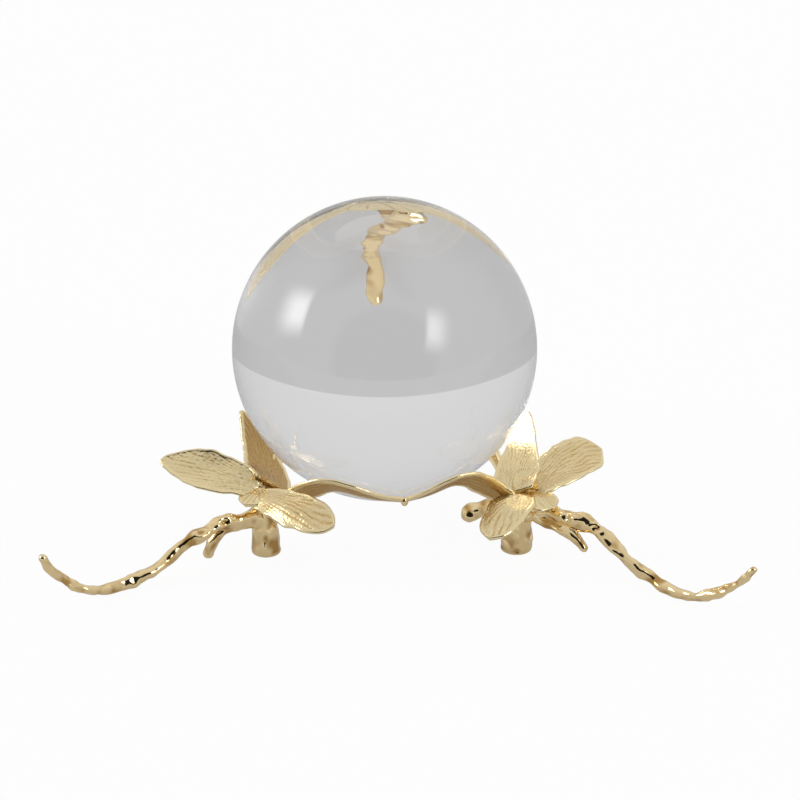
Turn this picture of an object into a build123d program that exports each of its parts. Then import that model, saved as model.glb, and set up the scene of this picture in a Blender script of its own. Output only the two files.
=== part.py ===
"""Crystal ball on a gold stand of three cast flowers on twigs.

Frame: the origin lies on the table, at the centre of the circle through the three feet.
+Z is up, +X runs from the left foot to the right foot, and -Y points to the front.
Each flower stands on a foot post, and its twig runs outwards from the post to a tail
that curls up at its tip. Two ring petals of each flower meet those of its neighbours
in a brazed bead, and the closed ring of six petals carries the ball.
"""
from build123d import *
from math import atan2, cos, degrees, radians, sin, sqrt
import os

# ---- driving dimensions, millimetres and degrees ----
BALL_DIAMETER = 120.0
BALL_CENTRE = Vector(-1.9, 0.9, 74.0)
FOOT_CIRCLE_RADIUS = 57.0
FOOT_AZIMUTH = {"left": 210.0, "right": 330.0, "back": 90.0}
FOOT_DIAMETER = {"left": 11.8, "right": 12.7, "back": 12.2}
POST_TOP_HEIGHT = 20.0
POST_WAIST_HEIGHT = 11.0
POST_WAIST_RATIO = 0.90
POST_TOP_RATIO = 0.72
POST_EDGE_RADIUS = 0.9

HUB_CENTRE = {
    "left": Vector(-50.5, -29.2, 27.0),
    "right": Vector(51.9, -29.9, 25.7),
    "back": Vector(0.6, 58.8, 26.3),
}
HUB_RADIUS = 5.4
HUB_NECK_RADIUS = 4.0
HUB_DOME_RISE = 1.6
HUB_DOME_RATIO = 0.72
HUB_SHOULDER_DROP = 1.5
HUB_NECK_SHARE = 0.3
HUB_NECK_FOOT = 12.0

PETAL_THICKNESS = 1.7
PETAL_EDGE_THICKNESS = 0.9
PETAL_ROOT_SHARE = 0.06
BALL_CLEARANCE = 0.95
RING_CUP = 0.25
BEAD_RADIUS = 2.3

# Where the ring petals meet: azimuth about the ball's axis, and height.
RING_JOINT = {"front": (279.5, 27.0), "back_right": (32.0, 27.0), "back_left": (152.0, 27.0)}

# Width of a petal, as a share of its widest half width, from root to tip.
STATIONS = (0.0, 0.12, 0.30, 0.50, 0.70, 0.88, 1.0)
OUTLINE = {
    "leaf": (0.60, 0.74, 0.90, 1.00, 0.86, 0.50, 0.20),
    "blade": (0.64, 0.78, 0.92, 1.00, 0.95, 0.72, 0.30),
    "paddle": (0.56, 0.70, 0.90, 1.00, 1.00, 0.82, 0.40),
    "shield": (0.70, 0.88, 1.00, 1.00, 0.92, 0.70, 0.30),
    "flame": (0.86, 0.96, 1.00, 0.84, 0.60, 0.37, 0.14),
    "ring": (0.70, 0.85, 1.00, 0.92, 0.66, 0.40, 0.26),
    "lip": (0.75, 0.85, 0.95, 1.00, 0.92, 0.70, 0.36),
}

# Petals of a flower: outline, root from the hub, tip from the hub, bow at mid length,
# widest half width, the way its upper side faces, and how far its edges rise or droop.
PETALS = {
    "left": {
        "outer_petal": (
            "leaf", (1.2, 1.2, 0.2), (-39.9, 10.4, 8.4), (0, 0, 1.0), 9.0, (0.05, -0.55, 0.8), 1.5
        ),
        "upright_petal": (
            "flame", (4.6, 2.0, 0.0), (-8.7, 31.0, 20.5), (1.3, 3.6, -5.4), 9.8, (0.55, -0.42, 0.68), 0.5
        ),
        "front_petal": (
            "blade", (-3.5, -3.5, 0), (28.0, -29, -1), (0.0, -1.5, 2.0), 7.8, (-0.35, -0.37, 0.85), -0.8
        ),
        "lip_petal": (
            "lip", (0, 0, 0), (-6.5, -8.5, -2), (0, 0, 0.8), 6.0, (0, 0, 1), -0.6
        ),
    },
    "right": {
        "outer_petal": (
            "paddle", (2, 0, 0), (32.2, 21.8, 7.3), (-1, 0, 2.2), 9.0, (0.15, -0.45, 0.86), 1.2
        ),
        "upright_petal": (
            "flame", (-4.8, -3.6, -0.3), (3.2, 28.0, 21.5), (0.2, 4.6, -4.6), 9.6, (-0.4, -0.55, 0.68), 0.5
        ),
        "front_petal": (
            "shield", (-1.5, -0.5, 0.5), (-15.5, -34, -2.5), (1.0, 0, 2.2), 8.8, (-0.2, -0.3, 0.93), -0.8
        ),
        "lip_petal": (
            "lip", (1, -1, 0), (11.0, -11.5, -1.8), (0, -0.5, 0.8), 7.6, (0, 0, 1), -0.6
        ),
    },
}
# The back flower is cast from the same pattern as the left one, and two of its petals
# are bent further round the ball: extra turn in degrees, and how far the tip is lowered.
BACK_TURN = FOOT_AZIMUTH["back"] - FOOT_AZIMUTH["left"]
BACK_BEND = {"outer_petal": (-25.0, 9.5), "front_petal": (-6.0, 0.0)}

# Ring petals: root from the hub, the joint that they reach, their widest half width, how
# far they rise above a straight line near the flower, and the height of their crest.
RING_PETALS = {
    "left": {
        "ring_petal_front": ((0, 0, -5.0), "front", 5.2, -0.6, 35.0),
        "ring_petal_back": ((0, 0, -5.0), "back_left", 4.2, -1.2, 29.5),
    },
    "right": {
        "ring_petal_front": ((-1.0, 3.0, -5.0), "front", 5.4, 0.2, 35.0),
        "ring_petal_back": ((0, 0, -5.0), "back_right", 4.0, -1.2, 29.5),
    },
    "back": {
        "ring_petal_left": ((0, 0, -5.0), "back_left", 4.4, -1.2, 30.0),
        "ring_petal_right": ((0, 0, -5.0), "back_right", 4.4, -1.2, 29.5),
    },
}
# Shares of the way from the flower to the joint, and how the shoulder's height lies
# between those of the crest and the joint.
RING_RISE_SHARE = 0.45
RING_CREST_SHARE = 0.46
RING_SHOULDER_SHARE = 0.74
RING_SHOULDER_BLEND = 0.6

# Twigs: distance out from the foot, height of the centreline, sideways offset, diameter.
TWIG_AZIMUTH = {"left": 210.0, "right": 323.7, "back": 91.0}
TWIG_LINE = {
    "left": [
        (-4, 14.5, 0.0, 6.0), (3, 16.0, 0.0, 7.4), (9, 16.6, 0.3, 6.4), (14, 17.0, 0.0, 6.0),
        (19.5, 17.7, -0.4, 6.6), (24.5, 16.6, 0.2, 4.2), (29.5, 15.4, 0.5, 5.6), (34.5, 13.6, 0.0, 4.4),
        (41, 9.0, -0.4, 4.8), (48, 6.3, 0.4, 4.4), (55, 4.3, 0.0, 4.6), (62, 2.9, -0.4, 4.3),
        (69, 2.8, 0.0, 4.4), (76, 4.5, 0.3, 4.0), (82.5, 8.2, 0.0, 3.7), (88.5, 13.6, -0.2, 3.3),
        (92.6, 19.0, 0.0, 3.0), (94.8, 24.3, 0.0, 2.8),
    ],
    "right": [
        (-4, 15.0, 0.0, 6.0), (4, 17.5, 0.0, 7.2), (11, 19.6, 0.3, 6.2), (18, 20.2, 0.4, 6.0),
        (25, 20.3, -0.4, 6.8), (31.5, 20.6, 0.0, 6.6), (37, 19.0, 0.3, 4.2), (42, 15.6, 0.5, 5.8),
        (47.5, 12.2, 0.0, 4.8), (54, 8.8, -0.4, 5.0), (61, 5.6, 0.4, 4.4), (68, 3.5, 0.0, 4.7),
        (75, 3.1, -0.3, 4.2), (82, 4.2, 0.0, 4.2), (88.5, 7.6, 0.3, 3.8), (95, 12.4, 0.0, 3.4),
        (101, 18.4, 0.0, 3.0), (104.5, 23.6, 0.0, 2.7),
    ],
    "back": [
        (-4, 14.5, 0.0, 6.0), (2.5, 16.0, 1.6, 7.0), (9, 17.2, 4.2, 6.2), (15.5, 17.6, 4.6, 6.0),
        (22, 17.4, 3.2, 6.4), (28, 15.0, 1.0, 4.4), (33.5, 11.6, -0.9, 5.0), (39, 8.4, -2.3, 4.0),
        (45.5, 5.6, -3.4, 4.2), (52, 3.9, -4.0, 3.8), (59, 3.0, -4.0, 3.8), (65, 3.4, -3.9, 3.6),
        (70.5, 5.2, -3.7, 3.3), (74.5, 7.8, -3.6, 2.8),
    ],
}

# Side shoots: distance out from the foot, height, sideways offset and diameter.
SIDE_SHOOT_LINE = {
    "left": [(8, 14.8, -0.5, 4.6), (16, 14.2, -1.5, 4.6), (21, 10.4, -2.6, 4.4), (24.6, 2.7, -3.6, 3.8)],
    "right": [(8, 18.0, -1.0, 5.0), (18, 16.4, -1.6, 5.2), (27.5, 14.8, -2.0, 4.8), (33.5, 9.4, -2.4, 3.6)],
    "back": [(9, 15.2, 0.5, 4.8), (18, 14.6, 1.6, 4.8), (24.5, 12.0, 2.6, 4.4), (28, 6.4, 3.4, 3.8)],
}
# Inner spurs, two knobs each: distance in from the foot, height, sideways offset, diameter.
INNER_SPUR_LINE = {
    "left": [
        (0, 13.4, 0.0, 5.0), (5, 14.0, 0.4, 5.2), (8, 14.4, 1.0, 4.6), (11, 14.6, 1.6, 6.4),
        (14, 13.6, 2.2, 4.6), (17, 12.4, 2.8, 5.8), (19.4, 11.4, 3.4, 3.2),
    ],
    "right": [
        (0, 14.4, 0.0, 5.0), (5, 15.6, 0.4, 5.4), (8.2, 16.4, 1.4, 5.8), (11.2, 16.8, 2.6, 7.4),
        (14.4, 15.4, 3.8, 6.0), (17.8, 14.0, 5.0, 7.4), (21.4, 12.8, 6.0, 5.2),
    ],
    "back": [
        (0, 13.8, 0.0, 5.0), (4.8, 14.6, -0.4, 5.2), (7.6, 15.0, -1.0, 4.6), (10.5, 15.4, -1.6, 6.4),
        (13.4, 14.0, -2.4, 4.6), (16.2, 12.6, -3.0, 6.0), (18.6, 11.4, -3.6, 3.2),
    ],
}

BALL_RADIUS = BALL_DIAMETER / 2
RING_CENTRELINE_RADIUS = BALL_RADIUS + BALL_CLEARANCE + PETAL_THICKNESS / 2


def from_foot(name, azimuth, out, height, side=0.0):
    """Point at a distance out from a foot's axis, along an azimuth."""
    foot = radians(FOOT_AZIMUTH[name])
    way = radians(azimuth)
    x = FOOT_CIRCLE_RADIUS * cos(foot) + out * cos(way) - side * sin(way)
    y = FOOT_CIRCLE_RADIUS * sin(foot) + out * sin(way) + side * cos(way)
    return Vector(x, y, height)


def on_ball(azimuth, height, shell_radius=RING_CENTRELINE_RADIUS):
    """Point at a height, just outside the lower half of the ball."""
    drop = BALL_CENTRE.Z - height
    reach = sqrt(shell_radius**2 - drop**2)
    way = radians(azimuth)
    return Vector(BALL_CENTRE.X + reach * cos(way), BALL_CENTRE.Y + reach * sin(way), height)


def petal_section(plane, half_width, cup):
    """Crescent across a petal, thicker in the middle than at its two rims."""
    rim = PETAL_EDGE_THICKNESS / 2
    middle = PETAL_THICKNESS / 2
    under = (0, -2 * middle - (cup - rim))
    over = (0, 2 * middle - (cup + rim))
    with BuildSketch(plane) as section:
        with BuildLine():
            Bezier((-half_width, cup - rim), under, (half_width, cup - rim))
            Line((half_width, cup - rim), (half_width, cup + rim))
            Bezier((half_width, cup + rim), over, (-half_width, cup + rim))
            Line((-half_width, cup + rim), (-half_width, cup - rim))
        make_face()
    return section.sketch


def petal_plane(point, along, face):
    """Plane across a petal: local x across its width, local y out of its upper side."""
    across = face.cross(along).normalized()
    return Plane(origin=point, x_dir=across, z_dir=along)


def free_petal(hub, outline, root, tip, bow, half_width, face, cup):
    """Petal that stands free, bowed between its root and its tip."""
    start = hub + Vector(*root)
    chord = Vector(*tip) - Vector(*root)
    start = start + chord * PETAL_ROOT_SHARE
    chord = chord * (1 - PETAL_ROOT_SHARE)
    sections = []
    for share, width in zip(STATIONS, OUTLINE[outline]):
        point = start + chord * share + Vector(*bow) * (4 * share * (1 - share))
        along = (chord + Vector(*bow) * (4 * (1 - 2 * share))).normalized()
        plane = petal_plane(point, along, Vector(*face))
        sections.append(petal_section(plane, half_width * width, cup * width))
    return loft(sections)


def azimuth_of(point):
    """Azimuth of a point about the ball's axis, in degrees."""
    return degrees(atan2(point.Y - BALL_CENTRE.Y, point.X - BALL_CENTRE.X))


def ring_petal(hub, root, joint, half_width, root_rise, crest_height):
    """Petal that arches from its flower to a ring joint and hugs the ball's underside."""
    joint_azimuth, joint_height = RING_JOINT[joint]
    turn = (joint_azimuth - azimuth_of(hub) + 180) % 360 - 180
    start_azimuth = joint_azimuth - turn
    root = hub + Vector(*root)
    crest = on_ball(start_azimuth + RING_CREST_SHARE * turn, crest_height)
    shoulder_height = joint_height + RING_SHOULDER_BLEND * (crest_height - joint_height)
    shoulder = on_ball(start_azimuth + RING_SHOULDER_SHARE * turn, shoulder_height)
    end = on_ball(joint_azimuth, joint_height)
    rise = root + (crest - root) * RING_RISE_SHARE + Vector(0, 0, root_rise)
    line = Spline(root, rise, crest, shoulder, end)
    sections = []
    for share, width in zip(STATIONS, OUTLINE["ring"]):
        share = PETAL_ROOT_SHARE + (1 - PETAL_ROOT_SHARE) * share
        point = line @ share
        plane = petal_plane(point, line % share, BALL_CENTRE - point)
        sections.append(petal_section(plane, half_width * width, RING_CUP * width))
    return loft(sections)


def round_bar(points, diameters):
    """Round bar of changing thickness through a list of points."""
    sections = []
    for index, point in enumerate(points):
        before = points[max(index - 1, 0)]
        after = points[min(index + 1, len(points) - 1)]
        plane = Plane(origin=point, z_dir=(after - before).normalized())
        sections.append(plane * Circle(diameters[index] / 2))
    return loft(sections)


def knotted_bar(name, azimuth, line):
    """Cast twig wood along rows of distance out, height, sideways offset and diameter."""
    points = [from_foot(name, azimuth, out, height, side) for out, height, side, _ in line]
    return round_bar(points, [diameter for *_, diameter in line])


def foot_post(name):
    """Short post with a flat underside, a little waisted, under a flower."""
    radius = FOOT_DIAMETER[name] / 2
    waist = radius * POST_WAIST_RATIO
    top = radius * POST_TOP_RATIO
    with BuildPart() as post:
        with BuildSketch(Plane.XZ):
            with BuildLine():
                Line((0, 0), (radius, 0))
                Spline((radius, 0), (waist, POST_WAIST_HEIGHT), (top, POST_TOP_HEIGHT))
                Line((top, POST_TOP_HEIGHT), (0, POST_TOP_HEIGHT))
                Line((0, POST_TOP_HEIGHT), (0, 0))
            make_face()
        revolve(axis=Axis.Z)
        fillet(post.faces().sort_by(Axis.Z)[0].edges(), POST_EDGE_RADIUS)
    return Pos(from_foot(name, 0, 0, 0)) * post.part


def hub(name):
    """Neck and low dome that join a flower's petals to its twig."""
    centre = HUB_CENTRE[name]
    foot = from_foot(name, 0, 0, HUB_NECK_FOOT)
    middle = centre + (foot - centre) * HUB_NECK_SHARE
    below = centre - Vector(0, 0, HUB_SHOULDER_DROP)
    above = centre + Vector(0, 0, HUB_DOME_RISE)
    radii = [HUB_NECK_RADIUS, HUB_NECK_RADIUS, HUB_RADIUS, HUB_RADIUS * HUB_DOME_RATIO]
    return round_bar([foot, middle, below, above], [2 * radius for radius in radii])


def petal_table(name):
    """Petals of a flower: the back flower's are the left flower's, turned and bent."""
    if name in PETALS:
        return PETALS[name]
    table = {}
    for petal_name, (outline, root, tip, bow, half_width, face, cup) in PETALS["left"].items():
        bend, drop = BACK_BEND.get(petal_name, (0.0, 0.0))
        turned = [Vector(*vector).rotate(Axis.Z, BACK_TURN + bend) for vector in (root, tip, bow, face)]
        root, tip, bow, face = turned
        table[petal_name] = (outline, root, tip - Vector(0, 0, drop), bow, half_width, face, cup)
    return table


def build_nodes():
    """Every piece of the object by name."""
    nodes = {"crystal_ball": Pos(BALL_CENTRE) * Sphere(BALL_RADIUS)}
    for name, hub_centre in HUB_CENTRE.items():
        nodes[f"{name}_twig"] = knotted_bar(name, TWIG_AZIMUTH[name], TWIG_LINE[name])
        nodes[f"{name}_side_shoot"] = knotted_bar(name, TWIG_AZIMUTH[name], SIDE_SHOOT_LINE[name])
        nodes[f"{name}_inner_spur"] = knotted_bar(name, FOOT_AZIMUTH[name] + 180, INNER_SPUR_LINE[name])
        nodes[f"{name}_foot_post"] = foot_post(name)
        nodes[f"{name}_flower_hub"] = hub(name)
        for petal_name, petal in petal_table(name).items():
            nodes[f"{name}_{petal_name}"] = free_petal(hub_centre, *petal)
        for petal_name, petal in RING_PETALS[name].items():
            nodes[f"{name}_{petal_name}"] = ring_petal(hub_centre, *petal)
    for joint, (azimuth, height) in RING_JOINT.items():
        centre = on_ball(azimuth, height, RING_CENTRELINE_RADIUS + BEAD_RADIUS / 2)
        nodes[f"{joint}_ring_bead"] = Pos(centre) * Sphere(BEAD_RADIUS)
    return nodes


os.makedirs("parts", exist_ok=True)
for node, shape in build_nodes().items():
    export_step(shape, f"parts/{node}.step")
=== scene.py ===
"""Looks of the crystal ball and its gold flower stand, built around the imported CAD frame.

Lengths in the tables are millimetres and MM turns them into Blender's metres.
"""

import math

import bpy
import numpy as np
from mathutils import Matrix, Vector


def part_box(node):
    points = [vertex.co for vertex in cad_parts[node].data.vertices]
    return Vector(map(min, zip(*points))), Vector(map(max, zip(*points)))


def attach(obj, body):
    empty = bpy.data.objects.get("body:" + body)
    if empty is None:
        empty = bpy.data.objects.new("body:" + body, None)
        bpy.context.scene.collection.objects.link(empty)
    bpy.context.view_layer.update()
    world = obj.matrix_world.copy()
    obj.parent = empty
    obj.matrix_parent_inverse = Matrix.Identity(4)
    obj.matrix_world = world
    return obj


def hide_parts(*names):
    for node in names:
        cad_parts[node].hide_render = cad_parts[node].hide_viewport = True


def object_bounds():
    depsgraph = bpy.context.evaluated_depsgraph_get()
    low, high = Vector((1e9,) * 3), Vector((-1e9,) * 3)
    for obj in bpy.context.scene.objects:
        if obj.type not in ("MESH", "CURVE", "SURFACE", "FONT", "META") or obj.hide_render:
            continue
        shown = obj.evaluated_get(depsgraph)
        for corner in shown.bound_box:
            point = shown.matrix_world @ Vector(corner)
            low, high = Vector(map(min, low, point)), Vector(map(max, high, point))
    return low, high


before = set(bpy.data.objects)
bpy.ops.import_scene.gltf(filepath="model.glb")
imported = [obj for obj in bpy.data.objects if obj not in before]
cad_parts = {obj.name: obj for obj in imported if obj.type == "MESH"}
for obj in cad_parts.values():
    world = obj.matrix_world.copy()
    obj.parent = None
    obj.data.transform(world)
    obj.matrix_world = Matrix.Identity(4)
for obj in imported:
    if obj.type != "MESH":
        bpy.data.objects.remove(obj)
cad_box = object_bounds()

MM = 0.001
PI = math.pi
UP = np.array((0.0, 0.0, 1.0))

# ---- the stand's design, as the CAD source has it ----
FOOT_AZIMUTH = {"left": 210.0, "right": 330.0, "back": 90.0}
HUB_DOME_RISE = 1.6
PETAL_THICKNESS = 1.7
PETAL_EDGE_THICKNESS = 0.9
PETAL_ROOT_SHARE = 0.06
BALL_CLEARANCE = 0.95
RING_CUP = 0.25
RING_JOINT = {"front": (279.5, 27.0), "back_right": (32.0, 27.0), "back_left": (152.0, 27.0)}

# Width of a petal, as a share of its widest half width, from root to tip.
STATIONS = (0.0, 0.12, 0.30, 0.50, 0.70, 0.88, 1.0)
OUTLINE = {
    "leaf": (0.60, 0.74, 0.90, 1.00, 0.86, 0.50, 0.20),
    "blade": (0.64, 0.78, 0.92, 1.00, 0.95, 0.72, 0.30),
    "paddle": (0.56, 0.70, 0.90, 1.00, 1.00, 0.82, 0.40),
    "shield": (0.70, 0.88, 1.00, 1.00, 0.92, 0.70, 0.30),
    "flame": (0.86, 0.96, 1.00, 0.84, 0.60, 0.37, 0.14),
    "ring": (0.70, 0.85, 1.00, 0.92, 0.66, 0.40, 0.26),
    "lip": (0.75, 0.85, 0.95, 1.00, 0.92, 0.70, 0.36),
}

# Petals of a flower: outline, root from the hub, tip from the hub, bow at mid length,
# widest half width, the way its upper side faces, and how far its edges rise or droop.
PETALS = {
    "left": {
        "outer_petal": (
            "leaf", (1.2, 1.2, 0.2), (-39.9, 10.4, 8.4), (0, 0, 1.0), 9.0, (0.05, -0.55, 0.8), 1.5
        ),
        "upright_petal": (
            "flame", (4.6, 2.0, 0.0), (-8.7, 31.0, 20.5), (1.3, 3.6, -5.4), 9.8,
            (0.55, -0.42, 0.68), 0.5,
        ),
        "front_petal": (
            "blade", (-3.5, -3.5, 0), (28.0, -29, -1), (0.0, -1.5, 2.0), 7.8,
            (-0.35, -0.37, 0.85), -0.8,
        ),
        "lip_petal": (
            "lip", (0, 0, 0), (-6.5, -8.5, -2), (0, 0, 0.8), 6.0, (0, 0, 1), -0.6
        ),
    },
    "right": {
        "outer_petal": (
            "paddle", (2, 0, 0), (32.2, 21.8, 7.3), (-1, 0, 2.2), 9.0, (0.15, -0.45, 0.86), 1.2
        ),
        "upright_petal": (
            "flame", (-4.8, -3.6, -0.3), (3.2, 28.0, 21.5), (0.2, 4.6, -4.6), 9.6,
            (-0.4, -0.55, 0.68), 0.5,
        ),
        "front_petal": (
            "shield", (-1.5, -0.5, 0.5), (-15.5, -34, -2.5), (1.0, 0, 2.2), 8.8,
            (-0.2, -0.3, 0.93), -0.8,
        ),
        "lip_petal": (
            "lip", (1, -1, 0), (11.0, -11.5, -1.8), (0, -0.5, 0.8), 7.6, (0, 0, 1), -0.6
        ),
    },
}
# The back flower is cast from the same pattern as the left one, and two of its petals
# are bent further round the ball: extra turn in degrees, and how far the tip is lowered.
BACK_TURN = FOOT_AZIMUTH["back"] - FOOT_AZIMUTH["left"]
BACK_BEND = {"outer_petal": (-25.0, 9.5), "front_petal": (-6.0, 0.0)}

# Ring petals: root from the hub, the joint that they reach, their widest half width, how
# far they rise above a straight line near the flower, and the height of their crest.
RING_PETALS = {
    "left": {
        "ring_petal_front": ((0, 0, -5.0), "front", 5.2, -0.6, 35.0),
        "ring_petal_back": ((0, 0, -5.0), "back_left", 4.2, -1.2, 29.5),
    },
    "right": {
        "ring_petal_front": ((-1.0, 3.0, -5.0), "front", 5.4, 0.2, 35.0),
        "ring_petal_back": ((0, 0, -5.0), "back_right", 4.0, -1.2, 29.5),
    },
    "back": {
        "ring_petal_left": ((0, 0, -5.0), "back_left", 4.4, -1.2, 30.0),
        "ring_petal_right": ((0, 0, -5.0), "back_right", 4.4, -1.2, 29.5),
    },
}
RING_RISE_SHARE = 0.45
RING_CREST_SHARE = 0.46
RING_SHOULDER_SHARE = 0.74
RING_SHOULDER_BLEND = 0.6

# Twigs, side shoots and inner spurs: distance from the foot, height, sideways offset, diameter.
TWIG_AZIMUTH = {"left": 210.0, "right": 323.7, "back": 91.0}
TWIG_LINE = {
    "left": [
        (-4, 14.5, 0.0, 6.0), (3, 16.0, 0.0, 7.4), (9, 16.6, 0.3, 6.4), (14, 17.0, 0.0, 6.0),
        (19.5, 17.7, -0.4, 6.6), (24.5, 16.6, 0.2, 4.2), (29.5, 15.4, 0.5, 5.6),
        (34.5, 13.6, 0.0, 4.4),
        (41, 9.0, -0.4, 4.8), (48, 6.3, 0.4, 4.4), (55, 4.3, 0.0, 4.6), (62, 2.9, -0.4, 4.3),
        (69, 2.8, 0.0, 4.4), (76, 4.5, 0.3, 4.0), (82.5, 8.2, 0.0, 3.7), (88.5, 13.6, -0.2, 3.3),
        (92.6, 19.0, 0.0, 3.0), (94.8, 24.3, 0.0, 2.8),
    ],
    "right": [
        (-4, 15.0, 0.0, 6.0), (4, 17.5, 0.0, 7.2), (11, 19.6, 0.3, 6.2), (18, 20.2, 0.4, 6.0),
        (25, 20.3, -0.4, 6.8), (31.5, 20.6, 0.0, 6.6), (37, 19.0, 0.3, 4.2), (42, 15.6, 0.5, 5.8),
        (47.5, 12.2, 0.0, 4.8), (54, 8.8, -0.4, 5.0), (61, 5.6, 0.4, 4.4), (68, 3.5, 0.0, 4.7),
        (75, 3.1, -0.3, 4.2), (82, 4.2, 0.0, 4.2), (88.5, 7.6, 0.3, 3.8), (95, 12.4, 0.0, 3.4),
        (101, 18.4, 0.0, 3.0), (104.5, 23.6, 0.0, 2.7),
    ],
    "back": [
        (-4, 14.5, 0.0, 6.0), (2.5, 16.0, 1.6, 7.0), (9, 17.2, 4.2, 6.2), (15.5, 17.6, 4.6, 6.0),
        (22, 17.4, 3.2, 6.4), (28, 15.0, 1.0, 4.4), (33.5, 11.6, -0.9, 5.0), (39, 8.4, -2.3, 4.0),
        (45.5, 5.6, -3.4, 4.2), (52, 3.9, -4.0, 3.8), (59, 3.0, -4.0, 3.8), (65, 3.4, -3.9, 3.6),
        (70.5, 5.2, -3.7, 3.3), (74.5, 7.8, -3.6, 2.8),
    ],
}
SIDE_SHOOT_LINE = {
    "left": [
        (8, 14.8, -0.5, 4.6), (16, 14.2, -1.5, 4.6), (21, 10.4, -2.6, 4.4), (24.6, 2.7, -3.6, 3.8),
    ],
    "right": [
        (8, 18.0, -1.0, 5.0), (18, 16.4, -1.6, 5.2), (27.5, 14.8, -2.0, 4.8),
        (33.5, 9.4, -2.4, 3.6),
    ],
    "back": [
        (9, 15.2, 0.5, 4.8), (18, 14.6, 1.6, 4.8), (24.5, 12.0, 2.6, 4.4), (28, 6.4, 3.4, 3.8),
    ],
}
INNER_SPUR_LINE = {
    "left": [
        (0, 13.4, 0.0, 5.0), (5, 14.0, 0.4, 5.2), (8, 14.4, 1.0, 4.6), (11, 14.6, 1.6, 6.4),
        (14, 13.6, 2.2, 4.6), (17, 12.4, 2.8, 5.8), (19.4, 11.4, 3.4, 3.2),
    ],
    "right": [
        (0, 14.4, 0.0, 5.0), (5, 15.6, 0.4, 5.4), (8.2, 16.4, 1.4, 5.8), (11.2, 16.8, 2.6, 7.4),
        (14.4, 15.4, 3.8, 6.0), (17.8, 14.0, 5.0, 7.4), (21.4, 12.8, 6.0, 5.2),
    ],
    "back": [
        (0, 13.8, 0.0, 5.0), (4.8, 14.6, -0.4, 5.2), (7.6, 15.0, -1.0, 4.6),
        (10.5, 15.4, -1.6, 6.4), (13.4, 14.0, -2.4, 4.6), (16.2, 12.6, -3.0, 6.0),
        (18.6, 11.4, -3.6, 3.2),
    ],
}

# ---- fineness of the meshes, millimetres ----
PETAL_STEP = 0.34
SECTION_POINTS = 128
TIP_ROWS = 26
TWIG_STEP = 0.45
TWIG_SIDES = 36
CASTING_VOXEL = 0.34
CASTING_SMOOTHING = 4
SPHERE_CUTS = 112
SPHERE_WELD = 0.02
SKIN_GAP = 0.35


# ---- places read from the frame, in millimetres ----
def box_mm(node):
    """Lowest and highest corner of a CAD node, in millimetres."""
    low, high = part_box(node)
    return np.array(low) / MM, np.array(high) / MM


def top_centre(node):
    """Centre of the flat top of a CAD node, in millimetres."""
    points = np.array([vertex.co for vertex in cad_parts[node].data.vertices]) / MM
    top = points[points[:, 2] > points[:, 2].max() - 0.05]
    return (top.min(axis=0) + top.max(axis=0)) / 2


ball_low, ball_high = box_mm("crystal_ball")
BALL_CENTRE = (ball_low + ball_high) / 2
BALL_RADIUS = (ball_high - ball_low)[2] / 2
FOOT = {}
HUB = {}
for flower in FOOT_AZIMUTH:
    low, high = box_mm(f"{flower}_foot_post")
    FOOT[flower] = (low + high) / 2 * np.array((1, 1, 0))
    HUB[flower] = top_centre(f"{flower}_flower_hub") - HUB_DOME_RISE * UP


# ---- curves and noise ----
def unit(vectors):
    """Rows scaled to length one."""
    return vectors / np.linalg.norm(vectors, axis=-1, keepdims=True)


def spline(knots, values, at):
    """Natural cubic spline through rows of values."""
    knots = np.asarray(knots, float)
    values = np.asarray(values, float).reshape(len(knots), -1)
    gap = np.diff(knots)
    system = np.eye(len(knots))
    right = np.zeros_like(values)
    for i in range(1, len(knots) - 1):
        system[i, i - 1:i + 2] = gap[i - 1], 2 * (gap[i - 1] + gap[i]), gap[i]
        slopes = np.diff(values[i - 1:i + 2], axis=0) / gap[i - 1:i + 1, None]
        right[i] = 6 * (slopes[1] - slopes[0])
    bend = np.linalg.solve(system, right)
    i = np.clip(np.searchsorted(knots, at) - 1, 0, len(gap) - 1)
    width = gap[i][:, None]
    a = (knots[i + 1] - at)[:, None] / width
    b = 1 - a
    curve = a * values[i] + b * values[i + 1]
    return curve + ((a**3 - a) * bend[i] + (b**3 - b) * bend[i + 1]) * width**2 / 6


def travel(points):
    """Distance run along a list of points."""
    steps = np.linalg.norm(np.diff(points, axis=0), axis=1)
    return np.concatenate(([0], np.cumsum(steps)))


def field(points, size, seed, waves=24):
    """Smooth random values of about -1 to 1 that change over a given size."""
    source = np.random.default_rng(seed)
    ways = unit(source.normal(size=(waves, 3)))
    rates = 2 * PI / size * source.uniform(0.6, 1.5, waves)
    phases = source.uniform(0, 2 * PI, waves)
    return np.cos(points @ (ways * rates[:, None]).T + phases).sum(axis=1) / math.sqrt(waves)


def turned(vector, degrees_about_z):
    """Vector turned about Z."""
    way = math.radians(degrees_about_z)
    x, y, z = vector
    cosine, sine = math.cos(way), math.sin(way)
    return np.array((x * cosine - y * sine, x * sine + y * cosine, z))


def from_foot(flower, azimuth, out, height, side):
    """Point at a distance out from a foot, along an azimuth."""
    return FOOT[flower] + turned((out, side, height), azimuth)


def on_ball(azimuth, height, radius):
    """Point at a height on a shell round the ball's lower half."""
    reach = math.sqrt(radius**2 - (BALL_CENTRE[2] - height) ** 2)
    point = BALL_CENTRE + turned((reach, 0, 0), azimuth)
    point[2] = height
    return point


# ---- mesh helpers ----
def add_mesh(name, points_mm, faces):
    """New smooth-shaded object from points in millimetres."""
    mesh = bpy.data.meshes.new(name)
    mesh.from_pydata((points_mm * MM).tolist(), [], faces)
    mesh.update()
    for polygon in mesh.polygons:
        polygon.use_smooth = True
    piece = bpy.data.objects.new(name, mesh)
    bpy.context.scene.collection.objects.link(piece)
    return piece


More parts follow.
